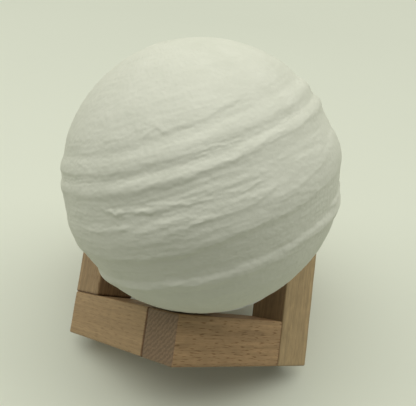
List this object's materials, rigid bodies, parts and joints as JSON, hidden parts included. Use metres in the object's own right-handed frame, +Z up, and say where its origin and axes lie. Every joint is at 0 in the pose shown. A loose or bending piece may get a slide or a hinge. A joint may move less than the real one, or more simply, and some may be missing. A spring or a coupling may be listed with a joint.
{
  "type": "planet lamp",
  "caption": "Battery table lamp: a matte printed planet globe with banded relief, resting in a zigzag ring stand of square beech sticks.",
  "frame": {"origin": "on the floor, on the upright axis of the ring stand", "axes": "+Z up, -Y towards the high corner of the stand that faces the picture's viewer, +X to the viewer's right"},
  "size_m": [0.1266, 0.146, 0.1632],
  "materials": {
    "beech": "satin",
    "dowel_beech": "matte",
    "globe_plastic": "matte",
    "white_plastic": "satin",
    "button_plastic": "satin",
    "circuit_laminate": "satin",
    "led_board_metal": "satin",
    "led_resin": "gloss",
    "black_plastic": "matte",
    "clear_plastic": "gloss",
    "screw_steel": "satin",
    "contact_brass": "satin",
    "cell_wrap": "gloss",
    "wire_sheath": "satin"
  },
  "bodies": {
    "stand": {"right_foot_stick": "beech", "right_head_stick": "beech", "left_foot_stick": "beech", "left_head_stick": "beech", "rear_foot_stick": "beech", "rear_head_stick": "beech", "corner_dowels": "dowel_beech", "joining_dowels": "dowel_beech"},
    "globe": {"globe_shell": "globe_plastic", "neck_ring": "white_plastic"},
    "plug": {"base_cap": "white_plastic", "plug_housing": "white_plastic", "circuit_board": "circuit_laminate", "cap_screws": "screw_steel", "charge_socket": "black_plastic", "charge_contact": "contact_brass", "switch_body": "black_plastic", "indicator_pipe": "clear_plastic", "indicator_led": "led_resin", "charge_chip": "black_plastic", "inductor": "black_plastic", "battery_holder": "black_plastic", "battery_cell": "cell_wrap", "battery_tabs": "screw_steel", "led_board": "led_board_metal", "led_chips": "led_resin", "led_wires": "wire_sheath", "led_screws": "screw_steel"},
    "button": {"power_button": "button_plastic", "switch_plunger": "black_plastic"}
  },
  "joints": [
    {"name": "globe_lift", "type": "slide", "parent": "stand", "child": "globe", "axis": [0, 0, 1], "range_m": [0, 0.12]},
    {"name": "plug_twist", "type": "hinge", "parent": "globe", "child": "plug", "pos_m": [0, 0, 0.1025], "axis": [-0.3875, 0.4229, 0.8192], "range_deg": [0, 40]},
    {"name": "button_press", "type": "slide", "parent": "plug", "child": "button", "axis": [-0.3875, 0.4229, 0.8192], "range_m": [0, 0.0006], "stiffness_N_per_m": 1500, "springref_m": -0.0004}
  ]
}
